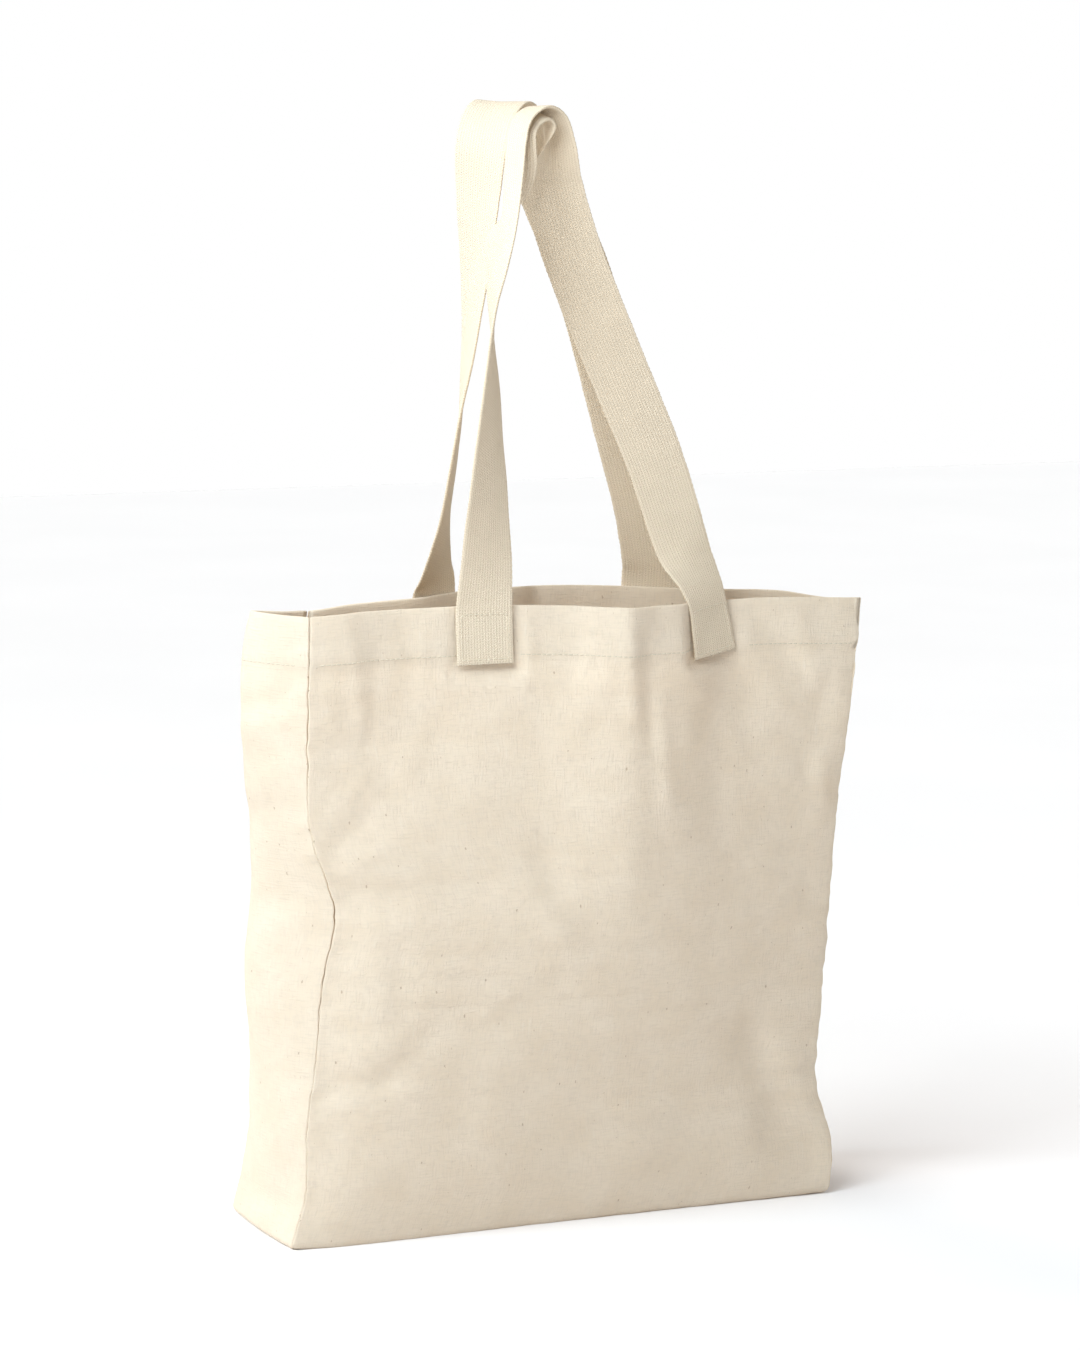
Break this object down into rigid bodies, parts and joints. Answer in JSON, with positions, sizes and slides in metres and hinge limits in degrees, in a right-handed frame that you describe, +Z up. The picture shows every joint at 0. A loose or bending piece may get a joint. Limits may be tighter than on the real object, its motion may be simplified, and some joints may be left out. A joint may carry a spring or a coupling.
{
  "type": "tote bag",
  "caption": "Gusseted cotton canvas tote bag standing open on a flat base, with two long webbing handles that are held up and swing down outwards.",
  "frame": {"origin": "centre of the base rectangle, on the surface that the bag stands on", "axes": "+X along the bag's width to the right as the front panel is faced, +Y from the front panel to the back panel, +Z up"},
  "size_m": [0.4106, 0.1144, 0.7069],
  "materials": {
    "canvas": "matte plain-weave unbleached cotton with seed flecks",
    "webbing": "matte ribbed and herringbone cotton webbing",
    "thread": "matte cotton sewing thread"
  },
  "bodies": {
    "bag": {"front_panel": "canvas", "back_panel": "canvas", "left_gusset": "canvas", "right_gusset": "canvas", "base_panel": "canvas", "front_handle_ends": "webbing", "back_handle_ends": "webbing", "front_handle_stitches": "thread", "back_handle_stitches": "thread", "hem_stitches": "thread", "corner_seam_allowances": "canvas", "corner_seam_stitches": "thread", "base_seam_allowance": "canvas", "base_seam_stitches": "thread"},
    "front_handle": {"front_handle": "webbing"},
    "back_handle": {"back_handle": "webbing"}
  },
  "joints": [
    {"name": "front_handle_swing", "type": "hinge", "parent": "bag", "child": "front_handle", "pos_m": [0.02, -0.0455, 0.404], "axis": [1, 0, 0], "range_deg": [0, 165]},
    {"name": "back_handle_swing", "type": "hinge", "parent": "bag", "child": "back_handle", "pos_m": [0.02, 0.045, 0.405], "axis": [-1, 0, 0], "range_deg": [0, 165]}
  ]
}
